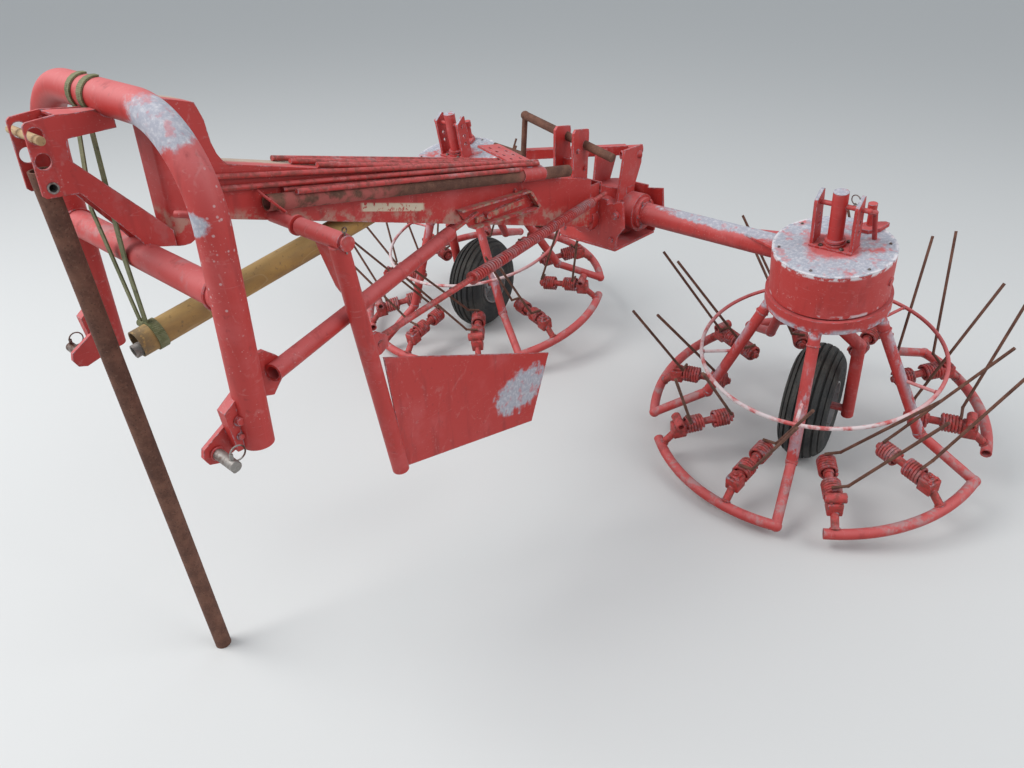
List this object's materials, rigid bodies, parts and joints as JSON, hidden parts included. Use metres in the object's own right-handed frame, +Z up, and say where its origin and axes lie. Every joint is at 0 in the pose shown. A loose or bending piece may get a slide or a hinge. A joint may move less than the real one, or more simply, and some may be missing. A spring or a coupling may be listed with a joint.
{
  "type": "hay tedder",
  "caption": "Tractor-mounted hay tedder with spring-tined rotors on tubular arms, a hoop headstock, a parking stand and a side deflector.",
  "frame": {"origin": "middle of the footprint, on the floor that the tyres and the stand rest on", "axes": "+Z up, -Y forward to the tractor, +X to the machine's left"},
  "size_m": [2.6458, 2.3862, 1.3505],
  "materials": {
    "frame_paint": "faded red paint, worn on top",
    "mast_paint": "faded red paint",
    "beam_paint": "faded red paint",
    "drum_paint": "faded red paint, chalky on top",
    "basket_paint": "faded red paint, worn to grey on the outer edges",
    "guard_paint": "pinkish faded paint",
    "coil_paint": "dull dark red paint",
    "flap_paint": "faded red paint with a worn patch",
    "rod_paint": "thin red paint over rust",
    "worn_steel": "worn, lightly rusted steel",
    "rusty_tube": "rust brown",
    "rusty_tine": "rust brown",
    "ochre_guard": "dirty ochre",
    "tyre_rubber": "weathered rubber",
    "rim_grey": "dull grey paint",
    "wooden_peg": "bare tan wood",
    "green_webbing": "mossy green webbing"
  },
  "bodies": {
    "frame": {"hoop": "frame_paint", "cross_tube": "frame_paint", "mast_plates": "mast_paint", "main_beam": "beam_paint", "brace_tube": "frame_paint", "link_plates": "mast_paint", "link_pins": "worn_steel", "top_pin": "wooden_peg", "stand_bolt": "worn_steel", "strap": "green_webbing", "shaft_guard": "ochre_guard", "shaft_tube": "worn_steel", "gearbox": "beam_paint", "yoke": "beam_paint", "fork": "mast_paint", "cross_shaft": "rusty_tube", "arm_tubes": "drum_paint", "drums": "drum_paint", "posts": "drum_paint", "wheel_stems": "frame_paint", "post_brackets": "drum_paint", "cross_pins": "worn_steel", "pivot_stub": "frame_paint", "gate_tube": "rusty_tube", "gate_rods": "rod_paint", "gate_clamp": "mast_paint"},
    "stand": {"stand_tube": "rusty_tube"},
    "deflector": {"flap_arm": "frame_paint", "flap_sheet": "flap_paint"},
    "rod": {"spring_rod": "frame_paint", "long_spring": "coil_paint"},
    "rotor_left": {"rotor_left_hub": "basket_paint", "rotor_left_ring": "basket_paint", "rotor_left_guard": "guard_paint", "rotor_left_coils": "coil_paint", "rotor_left_tines": "rusty_tine"},
    "rotor_right": {"rotor_right_hub": "basket_paint", "rotor_right_ring": "basket_paint", "rotor_right_guard": "guard_paint", "rotor_right_coils": "coil_paint", "rotor_right_tines": "rusty_tine"},
    "wheel_left": {"tyre_left": "tyre_rubber", "rim_left": "rim_grey"},
    "wheel_right": {"tyre_right": "tyre_rubber", "rim_right": "rim_grey"}
  },
  "joints": [
    {"name": "stand_swing", "type": "hinge", "parent": "frame", "child": "stand", "pos_m": [0, -1.1727, 1.193], "axis": [1, 0, 0], "range_deg": [-95, 0]},
    {"name": "deflector_swing", "type": "hinge", "parent": "frame", "child": "deflector", "pos_m": [0.262, -0.7827, 1.046], "axis": [1, 0, 0], "range_deg": [0, 15]},
    {"name": "rod_tilt", "type": "hinge", "parent": "deflector", "child": "rod", "pos_m": [0.25, -0.7017, 0.788], "axis": [1, 0, 0], "range_deg": [-17, 0], "deforming": ["long_spring"]},
    {"name": "rotor_left_spin", "type": "hinge", "parent": "frame", "child": "rotor_left", "pos_m": [0.75, 0.5393, 0.77211], "axis": [0, -0.2079, 0.9781], "continuous": true},
    {"name": "rotor_right_spin", "type": "hinge", "parent": "frame", "child": "rotor_right", "pos_m": [-0.75, 0.5393, 0.77211], "axis": [0, -0.2079, 0.9781], "continuous": true},
    {"name": "wheel_left_spin", "type": "hinge", "parent": "frame", "child": "wheel_left", "pos_m": [0.75, 0.66197, 0.195], "axis": [0.9848, 0.1699, 0.0361], "continuous": true},
    {"name": "wheel_right_spin", "type": "hinge", "parent": "frame", "child": "wheel_right", "pos_m": [-0.75, 0.66197, 0.195], "axis": [0.9848, 0.1699, 0.0361], "continuous": true}
  ],
  "couplings": [
    {"joint": "rotor_right_spin", "follows": "rotor_left_spin", "ratio": -1},
    {"joint": "rod_tilt", "follows": "deflector_swing", "ratio": -1.105}
  ]
}
